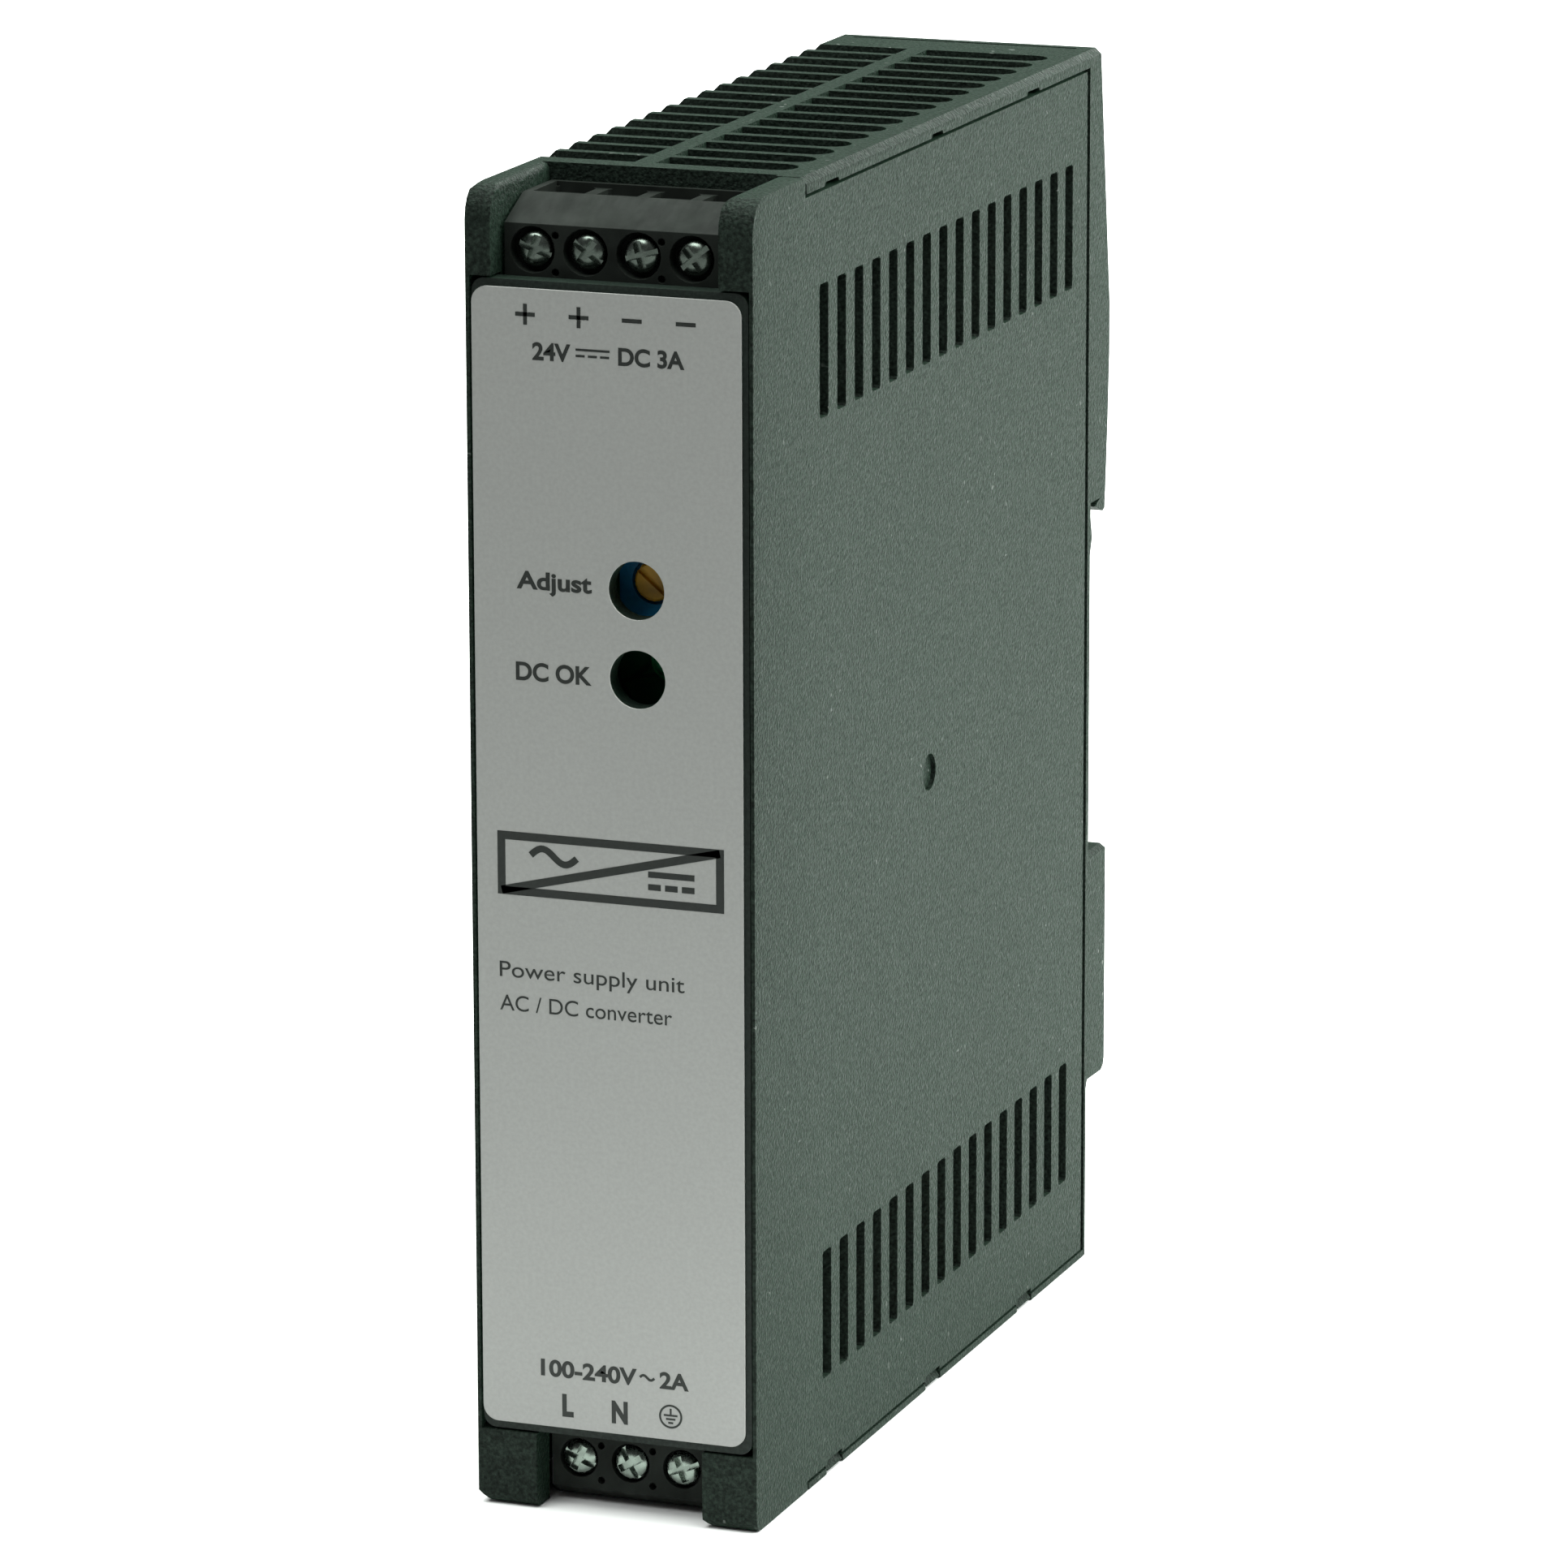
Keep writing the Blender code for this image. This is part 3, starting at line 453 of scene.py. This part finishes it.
cover_low, cover_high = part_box("front_cover")
cover_x = (cover_low.x / MM, cover_high.x / MM)
cover_z = (cover_low.z / MM, cover_high.z / MM)
cover_depth = (cover_high.y - cover_low.y) / MM + 0.2
ports = [circle(*ADJUST, PORT_RADIUS), circle(*INDICATOR, PORT_RADIUS)]
cover_mesh = shifted(filled([rounded(cover_x, cover_z, 1.2)] + ports, cover_depth), 0.22)
cover_mesh.materials.append(MATERIALS["cover"])
front_cover = link("front_cover_shell", cover_mesh, "case", "cover_plastic", "front_cover")
ease_edges(front_cover, 0.4, 4)

label_low, label_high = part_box("front_label")
label_x = (label_low.x / MM, label_high.x / MM)
label_z = (label_low.z / MM, label_high.z / MM)
label_mesh = shifted(filled([rounded(label_x, label_z, 1.45)] + ports, 0.2), 0.02)
label_mesh.materials.append(MATERIALS["label"])
label_mesh.materials.append(MATERIALS["label_edge"])
for face in label_mesh.polygons:
    face.material_index = 0 if abs(face.normal.y) > 0.5 else 1
front_label = link("label_sheet", label_mesh, "case", "label_film", "front_label")


def bar(x, z):
    return [(x[0], z[0]), (x[1], z[0]), (x[1], z[1]), (x[0], z[1])]


def stroke(points, width):
    """Outline of a line of the given width through points."""
    left, right = [], []
    for i, (x, z) in enumerate(points):
        before = points[max(i - 1, 0)]
        after = points[min(i + 1, len(points) - 1)]
        along = Vector((after[0] - before[0], after[1] - before[1])).normalized()
        side = Vector((-along.y, along.x)) * width / 2
        left.append((x + side.x, z + side.y))
        right.append((x - side.x, z - side.y))
    return left + right[::-1]


def tilde(cx, cz, length, height, width):
    steps = 18
    points = [(cx - length / 2 + length * i / steps,
               cz + height / 2 * math.sin(2 * math.pi * i / steps)) for i in range(steps + 1)]
    return stroke(points, width)


def lettering(text, x, z, weight=0.0):
    """Letters fitted between x and between z (base line and cap height)."""
    curve = bpy.data.curves.new("letters", "FONT")
    curve.body = text
    curve.size = 1.0 * MM
    curve.extrude = INK / 2 * MM
    curve.offset = weight * MM
    mesh = solid_from(curve, INK)
    xs = [v.co.x for v in mesh.vertices]
    height = 0.729 * MM
    grow = Matrix.Diagonal(((x[1] - x[0]) * MM / (max(xs) - min(xs)), 1, (z[1] - z[0]) * MM / height, 1))
    mesh.transform(Matrix.Translation((x[0] * MM, 0, z[0] * MM)) @ grow
                   @ Matrix.Translation((-min(xs), 0, 0)))
    return mesh


INK = 0.03                 # thickness of the print
ARM = 0.93                 # half length of a terminal mark
SIGN_LINE = 0.18           # half its line width
SIGN_Z = 109.8
BOLD = 0.03                # extra width of the bolder letters


def print_marks():
    """Terminal marks, port names, ratings and the converter sign, as one thin ink layer."""
    layers = []
    for x, is_plus in ((-7.85, True), (-2.8, True), (2.2, False), (7.25, False)):
        layers.append(filled([bar((x - ARM, x + ARM), (SIGN_Z - SIGN_LINE, SIGN_Z + SIGN_LINE))], INK))
        if is_plus:
            layers.append(filled([bar((x - SIGN_LINE, x + SIGN_LINE), (SIGN_Z - ARM, SIGN_Z + ARM))], INK))
    layers.append(lettering("24V", (-7.2, -3.6), (105.85, 107.4), BOLD))
    layers.append(filled([bar((-3.1, 0.1), (106.85, 107.05))]
                         + [bar((-3.1 + 1.15 * i, -2.25 + 1.15 * i), (106.3, 106.5)) for i in range(3)], INK))
    layers.append(lettering("DC 3A", (0.9, 7.1), (105.85, 107.4), BOLD))
    layers.append(lettering("Adjust", (-8.9, -1.75), (85.25, 86.85), 0.028))
    layers.append(lettering("DC OK", (-9.05, -1.85), (76.95, 78.6), 0.028))

    # Converter sign: a frame split by a diagonal, alternating on one side and direct on the other
    low, high = (-11.0, 57.2), (10.6, 63.0)
    line = 0.75
    inner = 0.375
    layers.append(filled([bar((low[0], high[0]), (low[1], high[1])),
                          bar((low[0] + line, high[0] - line), (low[1] + line, high[1] - line))], INK))
    layers.append(filled([stroke([(low[0] + inner, low[1] + inner), (high[0] - inner, high[1] - inner)],
                                 line)], INK))
    layers.append(filled([tilde(-5.6, 61.0, 4.4, 1.3, 0.62)], INK))
    layers.append(filled([bar((3.4, 7.8), (59.9, 60.45))], INK))
    layers.append(filled([bar((3.4 + 1.6 * i, 4.6 + 1.6 * i), (58.75, 59.3)) for i in range(3)], INK))

    layers.append(lettering("Power supply unit", (-10.9, 6.8), (49.6, 51.1)))
    layers.append(lettering("AC / DC converter", (-10.9, 5.6), (46.5, 48.0)))
    layers.append(lettering("100-240V", (-7.3, 2.0), (12.7, 14.25), BOLD))
    layers.append(filled([tilde(3.0, 13.5, 1.4, 0.42, 0.24)], INK))
    layers.append(lettering("2A", (4.2, 7.0), (12.7, 14.25), BOLD))
    layers.append(lettering("L", (-5.25, -4.15), (9.1, 11.1), 0.05))
    layers.append(lettering("N", (-0.45, 1.1), (9.0, 11.0), 0.05))
    earth_x, earth_z = 5.25, 10.1
    layers.append(filled([circle(earth_x, earth_z, 1.12, 48), circle(earth_x, earth_z, 0.93, 48)], INK))
    layers.append(filled([bar((earth_x - 0.09, earth_x + 0.09), (earth_z + 0.2, earth_z + 0.75))], INK))
    for width, rise in ((0.66, 0.1), (0.45, -0.25), (0.24, -0.6)):
        layers.append(filled([bar((earth_x - width, earth_x + width),
                                  (earth_z + rise - 0.09, earth_z + rise + 0.09))], INK))
    shape = bmesh.new()
    for layer in layers:
        shape.from_mesh(layer)
    mesh = bpy.data.meshes.new("label_print")
    shape.to_mesh(mesh)
    shape.free()
    return mesh


print_mesh = shifted(print_marks(), 0.0)
print_mesh.materials.append(MATERIALS["print"])
link("label_print", print_mesh, "case", "label_film")

# ---------------------------------------------------------------- latch spring

def coil_mesh(low, high, centre, radius, wire, turns, per_turn=20):
    curve = bpy.data.curves.new("coil", "CURVE")
    curve.dimensions = "3D"
    curve.bevel_depth = wire / 2 * MM
    curve.bevel_resolution = 3
    curve.use_fill_caps = True
    count = int(turns * per_turn)
    spline = curve.splines.new("POLY")
    spline.points.add(count)
    for i, point in enumerate(spline.points):
        angle = 2 * math.pi * i / per_turn
        rise = low + wire / 2 * MM + (high - low - wire * MM) * i / count
        point.co = (centre[0] + radius * MM * math.cos(angle), centre[1] + radius * MM * math.sin(angle),
                    rise, 1)
    holder = bpy.data.objects.new("coil_path", curve)
    bpy.context.scene.collection.objects.link(holder)
    graph = bpy.context.evaluated_depsgraph_get()
    mesh = bpy.data.meshes.new_from_object(holder.evaluated_get(graph))
    bpy.data.objects.remove(holder, do_unlink=True)
    shape = bmesh.new()
    shape.from_mesh(mesh)
    bmesh.ops.remove_doubles(shape, verts=shape.verts, dist=1e-6)
    bmesh.ops.recalc_face_normals(shape, faces=shape.faces)
    shape.to_mesh(mesh)
    shape.free()
    mesh.shade_smooth()
    return mesh


spring_low, spring_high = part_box("latch_spring")
spring_mid = (spring_low + spring_high) / 2
spring_mesh = coil_mesh(spring_low.z, spring_high.z, spring_mid, 1.05, 0.35, 6)
spring_mesh.materials.append(MATERIALS["spring"])
spring = link("latch_coil", spring_mesh, "case", "spring_steel", "latch_spring")
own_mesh(spring)

# ---------------------------------------------------------------- studio

floor_mesh = bpy.data.meshes.new("floor")
FLOOR_REACH = 4.0
floor_corners = [(x * FLOOR_REACH, y * FLOOR_REACH, 0) for x, y in ((-1, -1), (1, -1), (1, 1), (-1, 1))]
floor_mesh.from_pydata(floor_corners, [], [(0, 1, 2, 3)])
floor = bpy.data.objects.new("floor", floor_mesh)
floor.location.z = cad_box[0][2] - 0.0001
bpy.context.scene.collection.objects.link(floor)
floor_material, floor_tree, floor_shader = new_material("floor_white")
# White under and behind the object, grey in front of it, so that the front is lit softly
FLOOR_FADE = (-0.18, -0.09)
floor_place = node(floor_tree, "ShaderNodeSeparateXYZ")
floor_tree.links.new(place_of(floor_tree), floor_place.inputs[0])
floor_front = node(floor_tree, "ShaderNodeMapRange")
floor_front.inputs["From Min"].default_value = FLOOR_FADE[0]
floor_front.inputs["From Max"].default_value = FLOOR_FADE[1]
floor_tree.links.new(floor_place.outputs["Y"], floor_front.inputs["Value"])
floor_tree.links.new(ramp(floor_tree, floor_front.outputs["Result"], (0.0, 0.22), (1.0, 0.95)),
                     floor_shader.inputs["Base Color"])
floor_shader.inputs["Roughness"].default_value = 0.9
floor_shader.inputs["Specular IOR Level"].default_value = 0.1
floor_mesh.materials.append(floor_material)

world = bpy.data.worlds.new("studio")
world.use_nodes = True
world.node_tree.nodes["Background"].inputs["Color"].default_value = (1.0, 1.0, 1.0, 1.0)
world.node_tree.nodes["Background"].inputs["Strength"].default_value = 0.1
bpy.context.scene.world = world


def softbox(name, location, aim, size, power, colour=(1.0, 1.0, 1.0)):
    lamp = bpy.data.lights.new(name, "AREA")
    lamp.shape = "RECTANGLE"
    lamp.size, lamp.size_y = size
    lamp.energy = power
    lamp.color = colour
    holder = bpy.data.objects.new(name, lamp)
    holder.location = location
    holder.rotation_euler = (Vector(aim) - Vector(location)).to_track_quat("-Z", "Y").to_euler()
    bpy.context.scene.collection.objects.link(holder)
    return holder


middle = Vector((0, 0, 0.06))
softbox("overhead", (0.1, 0.55, 1.8), (0.1, 0.4, 0), (2.6, 2.6), 108, (0.95, 1.0, 0.96))
softbox("front_top", (-0.35, -0.85, 1.5), middle, (1.0, 1.0), 15, (0.97, 1.0, 0.98))
softbox("right_low", (0.9, 0.15, 0.6), (0.1, 0, 0), (0.5, 0.5), 12, (0.95, 1.0, 0.96))
softbox("rear_strip", (0.373, 1.45, 0.65), middle, (0.7, 0.6), 13)

# ---------------------------------------------------------------- camera

AZIMUTH, ELEVATION, ROLL = math.radians(20.58), math.radians(13.54), math.radians(-0.14)
DISTANCE = 0.78024
turn = (Matrix.Rotation(AZIMUTH, 4, "Z") @ Matrix.Rotation(math.pi / 2 - ELEVATION, 4, "X")
        @ Matrix.Rotation(ROLL, 4, "Z"))
right, up, back = (turn.col[i].to_3d() for i in range(3))
FILM_WIDTH, LENS = 36.0, 191.2
AIM_SHIFT = (-0.00102, -0.00276)   # sideways and upward, in metres
centre = Vector((0, FRONT_Y + 0.04627, 0.0605))
camera_data = bpy.data.cameras.new("camera")
camera_data.sensor_width = FILM_WIDTH
camera_data.lens = LENS
camera_data.clip_end = 20.0
camera = bpy.data.objects.new("camera", camera_data)
camera.matrix_world = (Matrix.Translation(centre + right * AIM_SHIFT[0] + up * AIM_SHIFT[1] + back * DISTANCE)
                       @ turn)
bpy.context.scene.collection.objects.link(camera)
bpy.context.scene.camera = camera
bpy.context.scene.view_settings.view_transform = "Standard"
